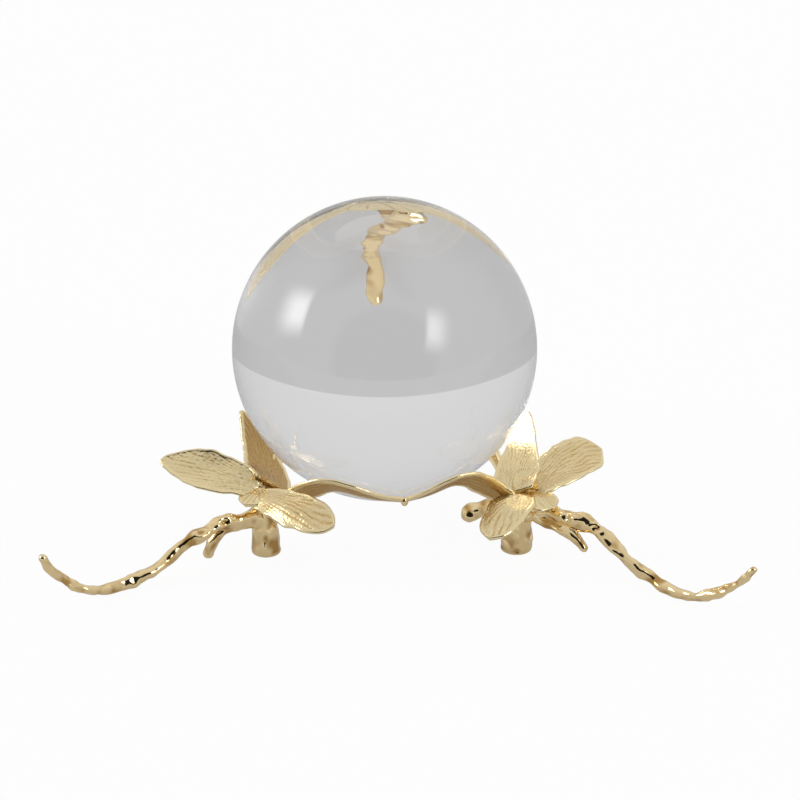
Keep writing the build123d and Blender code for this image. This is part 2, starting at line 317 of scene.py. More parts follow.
def store(piece, name, values):
    """Keeps a number or a vector per point for the material to read."""
    kind, field_name = ("FLOAT", "value") if values.ndim == 1 else ("FLOAT_VECTOR", "vector")
    attribute = piece.data.attributes.new(name, kind, "POINT")
    attribute.data.foreach_set(field_name, values.astype(np.float32).ravel())


def tube_faces(rows, around):
    """Faces of a closed tube of rows, with both ends capped."""
    faces = []
    for row in range(rows - 1):
        for k in range(around):
            a = row * around + k
            b = row * around + (k + 1) % around
            faces.append((a, b, b + around, a + around))
    faces.append(tuple(range(around - 1, -1, -1)))
    last = (rows - 1) * around
    faces.append(tuple(range(last, last + around)))
    return faces


def turned_shape(name, centre, radii, heights, around, lobes):
    """Round shape of rows about a vertical axis, its radius varied by lobes of row and turn."""
    row = np.repeat(np.arange(len(heights)), around)
    turn = np.tile(2 * PI * np.arange(around) / around, len(heights))
    reach = radii[row] * (1 + lobes(heights[row], turn))
    points = centre + np.stack((reach * np.cos(turn), reach * np.sin(turn), heights[row]), axis=1)
    return add_mesh(name, points, tube_faces(len(heights), around))


def points_of(piece):
    """Points of a piece's mesh in millimetres."""
    flat = np.empty(len(piece.data.vertices) * 3)
    piece.data.vertices.foreach_get("co", flat)
    return flat.reshape(-1, 3) / MM


def normals_of(piece):
    """Normals at the points of a piece's mesh."""
    flat = np.empty(len(piece.data.vertices) * 3)
    piece.data.vertex_normals.foreach_get("vector", flat)
    return flat.reshape(-1, 3)


def set_points(piece, points_mm):
    """Moves the points of a piece's mesh."""
    piece.data.vertices.foreach_set("co", (points_mm * MM).ravel())
    piece.data.update()


def clear_of_ball(points, gap):
    """Points pushed out to a gap from the ball where they come nearer."""
    out = points - BALL_CENTRE
    distance = np.linalg.norm(out, axis=1, keepdims=True)
    return BALL_CENTRE + out * np.maximum(1, (BALL_RADIUS + gap) / distance)


def apply_modifiers(piece):
    """Bakes a piece's modifiers into its mesh."""
    graph = bpy.context.evaluated_depsgraph_get()
    mesh = bpy.data.meshes.new_from_object(piece.evaluated_get(graph))
    piece.modifiers.clear()
    piece.data = mesh


def hand_over(piece, body, slot, material, *nodes):
    """Gives a finished piece its material and body, and hides the CAD nodes it stands for."""
    piece.data.materials.append(material)
    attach(piece, body)
    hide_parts(*nodes)


# ---- petals ----
# How each kind of petal is cast: uneven edge, rolled rim, slow waves, vein spacing, vein
# depth at the base and beyond it, slant of the veins, sandy skin, how far its root dips
# under the flower and over what share of its length. Millimetres.
CAST = {
    "outer_petal": {
        "ragged": 0.03, "roll": 0.14, "wave": 0.36, "pitch": 1.35, "base": 0.55, "vein": 0.10,
        "slant": 0.0, "sand": 0.050, "sink": 0.7, "sunk": 0.08,
    },
    "upright_petal": {
        "ragged": 0.03, "roll": 0.12, "wave": 0.30, "pitch": 1.30, "base": 0.30, "vein": 0.14,
        "slant": 0.15, "sand": 0.075, "sink": 0.7, "sunk": 0.08,
    },
    "front_petal": {
        "ragged": 0.03, "roll": 0.16, "wave": 0.34, "pitch": 1.75, "base": 0.24, "vein": 0.20,
        "slant": 0.55, "sand": 0.045, "sink": 0.5, "sunk": 0.08,
    },
    "lip_petal": {
        "ragged": 0.02, "roll": 0.12, "wave": 0.16, "pitch": 1.40, "base": 0.10, "vein": 0.08,
        "slant": 0.0, "sand": 0.030, "sink": 0.3, "sunk": 0.08,
    },
    "ring_petal": {
        "ragged": 0.04, "roll": 0.20, "wave": 0.08, "pitch": 1.70, "base": 0.20, "vein": 0.12,
        "slant": 0.0, "sand": 0.020, "sink": 3.6, "sunk": 0.24,
    },
    "rear_ring_petal": {
        "ragged": 0.04, "roll": 0.20, "wave": 0.08, "pitch": 1.70, "base": 0.20, "vein": 0.12,
        "slant": 0.0, "sand": 0.020, "sink": 0.8, "sunk": 0.12,
    },
}

# Painted shade: petals in a deeper tone, where the ball shades them.
SHADE = {
    "left_upright_petal_cast": 1.0, "right_upright_petal_cast": 0.1,
    "back_upright_petal_cast": 0.5, "left_front_petal_cast": 0.2, "right_outer_petal_cast": 0.2,
}
# Painted shade on every ring petal, under the ball.
RING_SHADE = 1.1
# Waist of the rear ring petals, where they pass under an upright petal: share, length, width.
REAR_WAIST = (0.38, 0.15, 0.60)

# Sizes of the uneven edge, the slow waves, the sandy skin and its number of waves.
RAGGED_SIZE = 7.0
WAVE_SIZE = 15.0
SAND_SIZE = 1.25
SAND_WAVES = 40
# Rolled rim: distance of its crest from the edge, and how wide it is.
ROLL_AT = 0.75
ROLL_WIDTH = 0.55
# Veins start this far from the edge, and reach their full depth over this distance.
VEIN_MARGIN = 0.8
VEIN_FADE = 1.2
VEIN_LEVEL = 0.65
VEIN_BASE_SHARE = 0.26
# The veins' common origin, as a share of the length behind the root, and how they fan out.
VEIN_ORIGIN = 0.22
VEIN_SPREAD = 0.72
VEIN_SHARPNESS = 6
# Fine lines between the veins: how many more there are, and how deep.
FINE_RATE = 2.7
FINE_DEPTH = 0.35
# Rim and veins of a petal's underside, as shares of those on its upper side.
UNDER_ROLL = 0.35
UNDER_VEIN = 0.45
# Distances that give an edge or a side noise of its own.
EDGE_SHIFT = 40
SIDE_SHIFT = 30


def petal_table(flower):
    """Petals of a flower: the back flower's are the left flower's, turned and bent."""
    if flower in PETALS:
        return PETALS[flower]
    table = {}
    for petal_name, (outline, root, tip, bow, half_width, face, cup) in PETALS["left"].items():
        bend, drop = BACK_BEND.get(petal_name, (0.0, 0.0))
        vectors = (root, tip, bow, face)
        root, tip, bow, face = [turned(vector, BACK_TURN + bend) for vector in vectors]
        table[petal_name] = (outline, root, tip - drop * UP, bow, half_width, face, cup)
    return table


def petal_rows(length, tip_width):
    """Shares along a petal, closer together round its tip, and how far it has closed there."""
    tip_share = min(0.22, 1.15 * tip_width / length)
    body_rows = int(length * (1 - tip_share) / PETAL_STEP)
    turn = np.linspace(0, PI / 2, TIP_ROWS)[1:]
    body = np.linspace(0, 1 - tip_share, body_rows)
    shares = np.concatenate((body, 1 - tip_share + tip_share * np.sin(turn)))
    closing = np.concatenate((np.ones(body_rows), np.cos(turn)))
    return shares, np.maximum(closing, 0.02)


def veins(u, share, half_width, length, cast, points, seed):
    """Ridges from 0 to 1 that fan out from the petal's base, uneven and broken along the way."""
    fan = np.arctan2((u + cast["slant"] * share) * half_width, length * (share + VEIN_ORIGIN))
    wobble = 1.6 * field(points, 12.0, seed) + 0.5 * field(points, 4.0, seed + 1)
    phase = fan * length * VEIN_SPREAD / cast["pitch"] * 2 * PI + wobble
    lines = np.stack((phase * 0.9, share * length * 0.35, 0 * share), axis=1)
    strength = np.clip(0.55 + 0.5 * field(lines, 3.4, seed + 6), 0.05, 1.1)
    ridge = 1 - np.abs(np.cos(phase / 2)) ** VEIN_SHARPNESS
    fine = 0.5 + 0.5 * np.cos(phase * FINE_RATE + 1.3 + 1.5 * field(points, 5.0, seed + 7))
    return 1 - strength * (1 - ridge) - FINE_DEPTH * fine * (1.1 - strength)


def petal_surface(name, line, half_widths, cups, length, closing, shares, cast, seed):
    """Petal along its midline: crescent sections, round rims, veins and a sandy cast skin."""
    centre, along, face = line
    across = unit(np.cross(face, along))
    normal = np.cross(along, across)
    rows = len(shares)
    turn = 2 * PI * np.arange(SECTION_POINTS) / SECTION_POINTS
    u = np.tile(np.cos(turn), rows)
    side = np.tile(np.where(np.sin(turn) >= 0, 1.0, -1.0), rows)
    row = np.repeat(np.arange(rows), SECTION_POINTS)
    share = shares[row]
    width = half_widths[row] * closing[row]
    edge_point = centre[row] + np.sign(u)[:, None] * EDGE_SHIFT
    half = width * (1 + cast["ragged"] * field(edge_point, RAGGED_SIZE, seed + 5))
    rim_gap = (1 - np.abs(u)) * width
    edge_gap = np.minimum(rim_gap, np.hypot(rim_gap, (1 - share) * length))
    flat = centre[row] + across[row] * (u * half)[:, None]

    middle = PETAL_THICKNESS / 2
    rim = PETAL_EDGE_THICKNESS / 2
    thick = middle + (rim - middle) * u**2
    rounding = np.sqrt(np.clip(1 - (1 - np.minimum(1, edge_gap / rim)) ** 2, 0, 1))
    roll = cast["roll"] * np.exp(-(((edge_gap - ROLL_AT) / ROLL_WIDTH) ** 2))
    inside = np.clip((edge_gap - VEIN_MARGIN) / VEIN_FADE, 0, 1)
    ridge = veins(u, share, half, length, cast, flat, seed)
    near_base = np.exp(-((share / VEIN_BASE_SHARE) ** 2))
    depth = cast["vein"] + (cast["base"] - cast["vein"]) * near_base
    depth *= 0.8 + 0.2 * field(flat, 6.0, seed + 3)
    sand_place = flat + side[:, None] * SIDE_SHIFT
    sand = cast["sand"] * field(sand_place, SAND_SIZE, seed + 4, SAND_WAVES)
    grooves = inside * depth * (ridge - VEIN_LEVEL)
    under = UNDER_ROLL * roll + UNDER_VEIN * grooves
    skin = np.where(side > 0, roll + grooves, under) + inside * sand

    grown = 0.25 + 0.75 * np.minimum(1, share * 3)
    wave = cast["wave"] * field(flat, WAVE_SIZE, seed + 2) * grown
    sink = cast["sink"] * np.clip(1 - share / cast["sunk"], 0, 1) ** 2
    height = cups[row] * closing[row] * u**2 + wave - sink + side * (thick + skin) * rounding
    points = clear_of_ball(flat + normal[row] * height[:, None], SKIN_GAP)
    # Painted shade: the relief that the colour reads is lowered on shaded petals.
    shade = SHADE.get(name, RING_SHADE if "ring" in name else 0.0)
    piece = add_mesh(name, points, tube_faces(rows, SECTION_POINTS))
    store(piece, "relief_and_shade", (ridge - shade) * inside + (1 - inside))
    store(piece, "flow", np.stack((u * half, share * length + seed, 1 - inside), axis=1))
    return piece


def free_petal(flower, petal_name, petal, seed):
    """Petal that stands free, bowed between its root and its tip."""
    outline, root, tip, bow, half_width, face, cup = petal
    chord = np.subtract(tip, root)
    start = HUB[flower] + np.array(root) + chord * PETAL_ROOT_SHARE
    chord = chord * (1 - PETAL_ROOT_SHARE)
    length = float(np.linalg.norm(chord))
    shares, closing = petal_rows(length, half_width * OUTLINE[outline][-1])
    bow = np.array(bow, float)
    s = shares[:, None]
    centre = start + chord * s + bow * (4 * s * (1 - s))
    along = unit(chord + bow * (4 * (1 - 2 * s)))
    line = (centre, along, np.tile(face, (len(shares), 1)))
    widths = spline(STATIONS, OUTLINE[outline], shares)[:, 0]
    return petal_surface(
        f"{flower}_{petal_name}_cast", line, half_width * widths, cup * widths,
        length, closing, shares, CAST[petal_name], seed,
    )


def ring_petal(flower, petal_name, petal, seed):
    """Petal that arches from its flower to a ring joint and hugs the ball's underside."""
    root_offset, joint, half_width, root_rise, crest_height = petal
    joint_azimuth, joint_height = RING_JOINT[joint]
    hub = HUB[flower]
    shell = BALL_RADIUS + BALL_CLEARANCE + PETAL_THICKNESS / 2
    hub_azimuth = math.degrees(math.atan2(hub[1] - BALL_CENTRE[1], hub[0] - BALL_CENTRE[0]))
    turn = (joint_azimuth - hub_azimuth + 180) % 360 - 180
    start = joint_azimuth - turn
    root = hub + np.array(root_offset)
    crest = on_ball(start + RING_CREST_SHARE * turn, crest_height, shell)
    shoulder_height = joint_height + RING_SHOULDER_BLEND * (crest_height - joint_height)
    shoulder = on_ball(start + RING_SHOULDER_SHARE * turn, shoulder_height, shell)
    end = on_ball(joint_azimuth, joint_height, shell)
    rise = root + (crest - root) * RING_RISE_SHARE + root_rise * UP
    guide = np.array((root, rise, crest, shoulder, end))
    knots = travel(guide)
    length = float(knots[-1])
    shares, closing = petal_rows(length, half_width * OUTLINE["ring"][-1])
    at = (PETAL_ROOT_SHARE + (1 - PETAL_ROOT_SHARE) * shares) * length
    centre = spline(knots, guide, at)
    line = (centre, unit(np.gradient(centre, at, axis=0)), BALL_CENTRE - centre)
    widths = spline(STATIONS, OUTLINE["ring"], shares)[:, 0]
    cast = CAST["ring_petal" if joint == "front" else "rear_ring_petal"]
    if joint != "front":
        at_share, reach, narrowest = REAR_WAIST
        widths = widths * (1 - (1 - narrowest) * np.exp(-(((shares - at_share) / reach) ** 2)))
    return petal_surface(
        f"{flower}_{petal_name}_cast", line, half_width * widths, RING_CUP * widths,
        length, closing, shares, cast, seed,
    )


# ---- twigs, spurs and posts ----
# Distance between the swellings of a stem: the short twig at the back is knobbled closely.
STEM_PITCH = 9.5
TWIG_PITCH = {"left": STEM_PITCH, "right": STEM_PITCH, "back": 4.6}
# Swellings and twist of each kind of stem, as shares of its radius.
STEM_RELIEF = {"twig": (0.085, 0.12), "shoot": (0.06, 0.08), "spur": (0.03, 0.06)}
# Swellings calm down by this share over this distance.
CALM_SHARE = 0.65
CALM_OVER = 80
TWIST_PITCH = 30
FLUTE_PITCH = 24
FLUTE_SHARE = 0.4


def twig_tube(name, flower, azimuth, rows_of_line, seed, knot, twist, pitch):
    """Twisted bar with swellings, along rows of distance out, height, offset and diameter."""
    guide = np.array([from_foot(flower, azimuth, *place) for *place, _ in rows_of_line])
    knots = travel(guide)
    rows = int(knots[-1] / TWIG_STEP)
    at = np.linspace(0, knots[-1], rows)
    centre = spline(knots, guide, at)
    radius = spline(knots, [diameter / 2 for *_, diameter in rows_of_line], at)[:, 0]
    ends = np.minimum(at, knots[-1] - at)
    radius *= np.sqrt(np.clip(1 - (1 - np.minimum(1, ends / radius)) ** 2, 0.02, 1))
    along = unit(np.gradient(centre, at, axis=0))
    across = unit(np.cross(np.tile(UP + 0.01, (rows, 1)), along))
    upward = np.cross(along, across)
    row = np.repeat(np.arange(rows), TWIG_SIDES)
    turn = np.tile(2 * PI * np.arange(TWIG_SIDES) / TWIG_SIDES, rows)
    run = at[row]
    calm = 1 - CALM_SHARE * np.clip(run / CALM_OVER, 0, 1)
    swelling = knot * calm * np.cos(run * 2 * PI / pitch + 1.2 * np.cos(turn + run / 12) + seed)
    twisted = twist * np.cos(2 * turn + run * 2 * PI / TWIST_PITCH + seed)
    fluted = FLUTE_SHARE * twist * np.cos(3 * turn - run * 2 * PI / FLUTE_PITCH + 2 * seed)
    reach = radius[row] * (1 + swelling + twisted + fluted)
    sideways = across[row] * (reach * np.cos(turn))[:, None]
    points = centre[row] + sideways + upward[row] * (reach * np.sin(turn))[:, None]
    return add_mesh(name, points, tube_faces(rows, TWIG_SIDES))


# Foot post: height, and radius as a share of its widest.
POST_PROFILE = [
    (0.0, 0.90), (0.25, 0.965), (0.9, 1.0), (4.0, 0.965), (9.0, 0.90), (14.0, 0.80), (18.0, 0.72),
    (22.0, 0.60),
]
POST_EDGE_HEIGHT = 1.4
POST_FLUTES = (0.06, 0.055)
POST_LEAN_FROM = 6.0


def post_tube(flower, seed):
    """Foot post: flat underside, soft edges, shallow flutes and a neck that leans."""
    low, high = box_mm(f"{flower}_foot_post")
    top = POST_PROFILE[-1][0]
    edge = np.linspace(0, POST_EDGE_HEIGHT, 10)
    heights = np.concatenate((edge, np.linspace(POST_EDGE_HEIGHT, top, 55)[1:]))
    shares = np.interp(heights, [z for z, _ in POST_PROFILE], [share for _, share in POST_PROFILE])

    def flutes(height, turn):
        start = np.clip(height / 5, 0, 1)
        broad = POST_FLUTES[0] * np.cos(3 * turn + seed)
        narrow = POST_FLUTES[1] * np.cos(6 * turn - height / 9 + seed)
        return start * (broad + narrow)

    radii = (high - low)[0] / 2 * shares
    post = turned_shape(f"{flower}_post_core", FOOT[flower], radii, heights, 2 * TWIG_SIDES, flutes)
    points = points_of(post)
    lean = (HUB[flower] - FOOT[flower]) * np.array((1, 1, 0))
    rise = np.clip((points[:, 2:] - POST_LEAN_FROM) / (HUB[flower][2] - POST_LEAN_FROM), 0, 1)
    set_points(post, points + rise**1.5 * lean)
    return post


def fuse(name, parts, voxel, smoothing):
    """One skin over several overlapping parts, as a casting has."""
    bpy.ops.object.select_all(action="DESELECT")
    for part in parts:
        part.select_set(True)
    bpy.context.view_layer.objects.active = parts[0]
    bpy.ops.object.join()
    piece = parts[0]
    piece.name = name
    piece.data.name = name
    skin = piece.modifiers.new("skin", "REMESH")
    skin.mode = "VOXEL"
    skin.voxel_size = voxel * MM
    skin.use_smooth_shade = True
    soften = piece.modifiers.new("soften", "SMOOTH")
    soften.factor = 0.5
    soften.iterations = smoothing
    apply_modifiers(piece)
    piece.select_set(False)
    return piece


def roughen(piece, sizes_and_depths, seed, floor=None, extra=0.0):
    """Moves a piece's points along their normals by smooth noise of several sizes."""
    points = points_of(piece)
    push = np.zeros(len(points)) + extra
    for step, (size, depth) in enumerate(sizes_and_depths):
        push += depth * field(points, size, seed + step)
    if floor is not None:
        push *= np.clip((points[:, 2] - floor) / 1.0, 0, 1)
    moved = clear_of_ball(points + normals_of(piece) * push[:, None], SKIN_GAP)
    set_points(piece, np.clip(moved, *(np.array(cad_box) / MM)))
    store(piece, "relief_and_shade", np.clip(0.6 + push * 1.6, 0, 1))


# Noise on the castings: size and depth. The foot stays flat below FOOT_FLAT.
BRANCH_NOISE = [(9.0, 0.30), (4.2, 0.12)]
DOME_NOISE = [(5.0, 0.12), (1.8, 0.05)]
BEAD_NOISE = [(3.0, 0.07), (1.3, 0.04)]
FOOT_FLAT = 0.5

# Knot eyes on the twigs: the row of the twig's table, and the turn about the twig from above.
EYES = {"left": [(4, -60), (6, -40)], "right": [(4, 60), (6, 45)], "back": [(4, -60), (5, 70)]}
EYE_STRETCH = 1.7
EYE_RADIUS = 1.7
EYE_RIM = 0.26
EYE_RIM_WIDTH = 0.7
EYE_HOLLOW = 0.55
EYE_HOLLOW_WIDTH = 0.95


def knot_eyes(flower, points):
    """Height of the knot eyes over a branch's skin: a raised ring round a small hollow."""
    azimuth = TWIG_AZIMUTH[flower]
    height = np.zeros(len(points))
    for row, lean in EYES[flower]:
        *place, diameter = TWIG_LINE[flower][row]
        lean = math.radians(lean)
        outwards = turned((0, -math.sin(lean), math.cos(lean)), azimuth)
        centre = from_foot(flower, azimuth, *place) + outwards * diameter / 2
        offset = points - centre
        forwards = turned((1, 0, 0), azimuth)
        offset -= (offset @ forwards)[:, None] * forwards * (1 - 1 / EYE_STRETCH)
        distance = np.linalg.norm(offset, axis=1)
        height += EYE_RIM * np.exp(-(((distance - EYE_RADIUS) / EYE_RIM_WIDTH) ** 2))
        height -= EYE_HOLLOW * np.exp(-((distance / EYE_HOLLOW_WIDTH) ** 2))
    return height


def branch(flower, seed):
    """Twig, side shoot, inner spur and foot post of a flower as one polished casting."""
    azimuth = TWIG_AZIMUTH[flower]
    stems = {
        "twig": (azimuth, TWIG_LINE[flower], TWIG_PITCH[flower]),
        "shoot": (azimuth, SIDE_SHOOT_LINE[flower], STEM_PITCH),
        "spur": (FOOT_AZIMUTH[flower] + 180, INNER_SPUR_LINE[flower], STEM_PITCH),
    }
    parts = []
    for step, (kind, (way, line, pitch)) in enumerate(stems.items()):
        name = f"{flower}_{kind}_core"
        parts.append(twig_tube(name, flower, way, line, seed + step, *STEM_RELIEF[kind], pitch))
    parts.append(post_tube(flower, seed + 3))
    piece = fuse(f"{flower}_branch_casting", parts, CASTING_VOXEL, CASTING_SMOOTHING)
    eyes = knot_eyes(flower, points_of(piece))
    roughen(piece, BRANCH_NOISE, seed + 4, FOOT_FLAT, eyes)
    return piece


# Dome of a flower: radius and height above the hub, with the nub's height for each flower.
DOME_PROFILE = [
    (3.2, -9.0), (4.0, -5.0), (5.0, -2.4), (5.2, -1.0), (4.6, 0.1), (3.4, 0.6), (2.2, 0.8),
    (1.3, 1.0),
]
DOME_NUB = {"left": 1.58, "right": 1.1, "back": 1.58}


def hub_dome(flower, seed):
    """Low dome under a flower's petal roots, with a small nub at its middle."""
    nub = DOME_NUB[flower]
    profile = np.array([*DOME_PROFILE, (0.8, nub - 0.1), (0.15, nub)])
    knots = travel(profile)
    line = spline(knots, profile, np.linspace(0, knots[-1], 44))
    radii = np.maximum(line[:, 0], 0.12)

    def lobes(_height, turn):
        return 0.04 * np.cos(6 * turn)

    piece = turned_shape(f"{flower}_flower_dome", HUB[flower], radii, line[:, 1], 64, lobes)
    roughen(piece, DOME_NOISE, seed)
    return piece


# Drop of braze, as shares of its bead's radius: height, width and distance towards the ball.
# Its point is drawn out by a power of the sine.
BEAD_HEIGHT = 0.86
BEAD_WIDTH = 0.62
BEAD_INSET = 0.3
BEAD_POINT = 1.25


def braze_bead(joint, seed):
    """Drop of braze where two ring petals meet, drawn down to a point."""
    low, high = box_mm(f"{joint}_ring_bead")
    radius = (high - low)[2] / 2
    middle = (low + high) / 2
    inwards = unit((BALL_CENTRE - middle) * np.array((1, 1, 0)))
    tilt = np.linspace(0.06, PI - 0.06, 24)
    heights = -BEAD_HEIGHT * radius * np.cos(tilt)
    radii = BEAD_WIDTH * radius * np.sin(tilt) ** BEAD_POINT
    centre = middle + BEAD_INSET * radius * inwards

    def lobes(_height, turn):
        return 0.08 * np.cos(2 * turn + seed)

    piece = turned_shape(f"{joint}_braze_bead", centre, radii, heights, 32, lobes)
    roughen(piece, BEAD_NOISE, seed)
    return piece


# ---- the ball ----
def crystal_sphere():
    """Polished ball: a cube's grid blown out to a sphere, so that its quads are even."""
    side = SPHERE_CUTS + 1
    ticks = np.tan(np.linspace(-PI / 4, PI / 4, side))
    a, b = np.meshgrid(ticks, ticks, indexing="ij")
    sheets = []
    faces = []
    for axis in range(3):
        for sign in (-1, 1):
            start = len(sheets) * side**2
            sheet = np.empty((side, side, 3))
            sheet[..., axis] = sign
            sheet[..., (axis + 1) % 3] = a * sign
            sheet[..., (axis + 2) % 3] = b
            sheets.append(sheet.reshape(-1, 3))
            for i in range(SPHERE_CUTS):
                for j in range(SPHERE_CUTS):
                    first = start + i * side + j
                    faces.append((first, first + side, first + side + 1, first + 1))
    points = BALL_CENTRE + BALL_RADIUS * unit(np.concatenate(sheets))
    piece = add_mesh("crystal_ball_glass", points, faces)
    weld = piece.modifiers.new("weld", "WELD")
    weld.merge_threshold = SPHERE_WELD * MM
    apply_modifiers(piece)
    return piece


# ---- materials ----
class Tree:
    """Short way of adding nodes to a material or world."""

    def __init__(self, owner):
        owner.use_nodes = True
        self.tree = owner.node_tree
        self.tree.nodes.clear()

    def add(self, kind, values=None, links=None, **settings):
        """Adds a node, sets its properties and plain sockets, and links its inputs."""
        node = self.tree.nodes.new(kind)
        for key, value in settings.items():
            setattr(node, key, value)
        for key, value in (values or {}).items():
            node.inputs[key].default_value = value
        for key, socket in (links or {}).items():
            self.tree.links.new(socket, node.inputs[key])
        return node

    def math(self, operation, *terms):
        """Math node of sockets and numbers."""
        node = self.add("ShaderNodeMath", operation=operation)
        for index, term in enumerate(terms):
            if isinstance(term, (int, float)):
                node.inputs[index].default_value = term
            else:
                self.tree.links.new(term, node.inputs[index])
        return node.outputs[0]

    def product(self, *terms):
        """Terms multiplied together."""
        result = terms[0]
        for term in terms[1:]:
            result = self.math("MULTIPLY", result, term)
        return result

    def sum(self, *terms):
        """Terms added together."""
        result = terms[0]
        for term in terms[1:]:
            result = self.math("ADD", result, term)
        return result

    def ramp(self, factor, stops):
        """Colour ramp with stops of position and colour."""
        node = self.add("ShaderNodeValToRGB", links={0: factor})
        elements = node.color_ramp.elements
        while len(elements) < len(stops):
            elements.new(0.5)
        for element, (position, colour) in zip(elements, stops):
            element.position = position
            element.color = (*colour, 1.0)
        return node.outputs[0]

    def remap(self, value, low, high, new_low, new_high):
        """Value moved from one range to another, smoothly and held at its ends."""
        settings = {"From Min": low, "From Max": high, "To Min": new_low, "To Max": new_high}
        smooth = {"interpolation_type": "SMOOTHSTEP"}
        return self.add("ShaderNodeMapRange", settings, {"Value": value}, **smooth).outputs[0]

    def noise(self, place, scale, detail):
        """Noise of a scale at a place."""
        values = {"Scale": scale, "Detail": detail, "Roughness": 0.6}
        return self.add("ShaderNodeTexNoise", values, {"Vector": place}).outputs["Fac"]

    def along(self, way, direction):
        """Share of a direction vector that lies along another."""
        node = self.add("ShaderNodeVectorMath", {1: direction}, {0: way}, operation="DOT_PRODUCT")
        return node.outputs["Value"]


def gold_surface(tree, colour, rough, bump):
    """Polished or satin metal from sockets of colour, roughness and normal."""
    links = {"Base Color": colour, "Roughness": rough, "Normal": bump}
    shader = tree.add("ShaderNodeBsdfPrincipled", {"Metallic": 1.0, "IOR": 1.5}, links)
    tree.add("ShaderNodeOutputMaterial", links={"Surface": shader.outputs[0]})


# Most values of a noise node lie in this range.
NOISE_RANGE = (0.35, 0.65)

# Petal gold: how the brushing is drawn out across and along a petal, noise scales, what each
# layer adds to the tone, the tone's colours, roughness, and bump depth in millimetres.
PETAL_BRUSHING = (2.6, 0.16, 0.0)
PETAL_PATCHES = 110.0
PETAL_SAND = 1700.0
PETAL_TONE = {"relief_and_shade": 0.42, "patches": 0.25, "streaks": 0.25, "sand": 0.25, "rim": 0.3}
PETAL_COLOURS = [
    (0.16, (0.50, 0.30, 0.11)), (0.44, (0.70, 0.49, 0.21)), (0.72, (0.95, 0.79, 0.47)),
]
PETAL_ROUGHNESS = (0.25, 0.33)
RIM_ROUGHNESS = -0.14
PETAL_BUMP = 0.07


def petal_gold_material():
    """Satin gold: brushed along each petal, deeper in its grooves, darker with painted shade,
    and paler at its rims, which are worn and carry a painted highlight.
    """
    material = bpy.data.materials.new("petal_gold")
    tree = Tree(material)
    place = tree.add("ShaderNodeTexCoord").outputs["Object"]
    relief_and_shade = tree.add("ShaderNodeAttribute", attribute_name="relief_and_shade").outputs["Fac"]
    flow = tree.add("ShaderNodeAttribute", attribute_name="flow").outputs["Vector"]
    # Rim share: its paler colour is wear and a painted highlight; the rim is smoother too.
    rim = tree.add("ShaderNodeSeparateXYZ", links={0: flow}).outputs[2]
    stretch = {1: PETAL_BRUSHING}
    brushed = tree.add("ShaderNodeVectorMath", stretch, {0: flow}, operation="MULTIPLY")
    streaks = tree.noise(brushed.outputs[0], 1.0, 3.0)
    patches = tree.noise(place, PETAL_PATCHES, 3.0)
    sand = tree.noise(place, PETAL_SAND, 2.0)
    layers = {"relief_and_shade": relief_and_shade, "patches": patches, "streaks": streaks, "sand": sand, "rim": rim}
    # Painted shade enters the tone with the relief, and a painted highlight with the rim.
    tone = tree.sum(*(tree.product(layers[name], share) for name, share in PETAL_TONE.items()))
    colour = tree.ramp(tone, PETAL_COLOURS)
    satin = tree.remap(patches, *NOISE_RANGE, *PETAL_ROUGHNESS)
    rough = tree.sum(satin, tree.product(rim, RIM_ROUGHNESS))
    height = tree.sum(tree.product(streaks, 0.5), tree.product(sand, 0.9))
    depth = {"Strength": 0.8, "Distance": PETAL_BUMP * MM}
    bump = tree.add("ShaderNodeBump", depth, {"Height": height})
    gold_surface(tree, colour, rough, bump.outputs[0])
    return material


# Twig gold: noise scales, colours from hollow to ridge, roughness, bump depth in millimetres.
TWIG_PATCHES = 70.0
TWIG_RIPPLES = 420.0
TWIG_COLOURS = [(0.10, (0.55, 0.33, 0.11)), (0.62, (0.97, 0.76, 0.42))]
TWIG_ROUGHNESS = (0.045, 0.11)
TWIG_BUMP = 0.12


def twig_gold_material():
    """Warm polished gold with faint ripples and a little deeper tone in its hollows."""
    material = bpy.data.materials.new("twig_gold")
    tree = Tree(material)
    place = tree.add("ShaderNodeTexCoord").outputs["Object"]
    relief_and_shade = tree.add("ShaderNodeAttribute", attribute_name="relief_and_shade").outputs["Fac"]
    patches = tree.noise(place, TWIG_PATCHES, 2.0)
    ripples = tree.noise(place, TWIG_RIPPLES, 3.0)
    tone = tree.sum(tree.product(relief_and_shade, 0.8), tree.product(patches, 0.2))
    colour = tree.ramp(tone, TWIG_COLOURS)
    rough = tree.remap(patches, *NOISE_RANGE, *TWIG_ROUGHNESS)
    depth = {"Strength": 0.5, "Distance": TWIG_BUMP * MM}
    bump = tree.add("ShaderNodeBump", depth, {"Height": ripples})
    gold_surface(tree, colour, rough, bump.outputs[0])
    return material


# Haze on the crystal: noise scale, the noise from which it shows, and its roughness.
HAZE_SCALE = 28.0
HAZE_RANGE = (0.52, 0.80)
HAZE_ROUGHNESS = 0.016


def crystal_material():
    """Clear crystal with the faintest haze of handling."""
    material = bpy.data.materials.new("crystal")
    tree = Tree(material)
    place = tree.add("ShaderNodeTexCoord").outputs["Object"]
    haze = tree.noise(place, HAZE_SCALE, 4.0)
    rough = tree.remap(haze, *HAZE_RANGE, 0.0, HAZE_ROUGHNESS)
    shader = tree.add(
        "ShaderNodeBsdfPrincipled",
        {"Base Color": (0.992, 0.992, 0.996, 1), "Transmission Weight": 1.0, "IOR": 1.5},
        {"Roughness": rough},
    )
    tree.add("ShaderNodeOutputMaterial", links={"Surface": shader.outputs[0]})
    return material


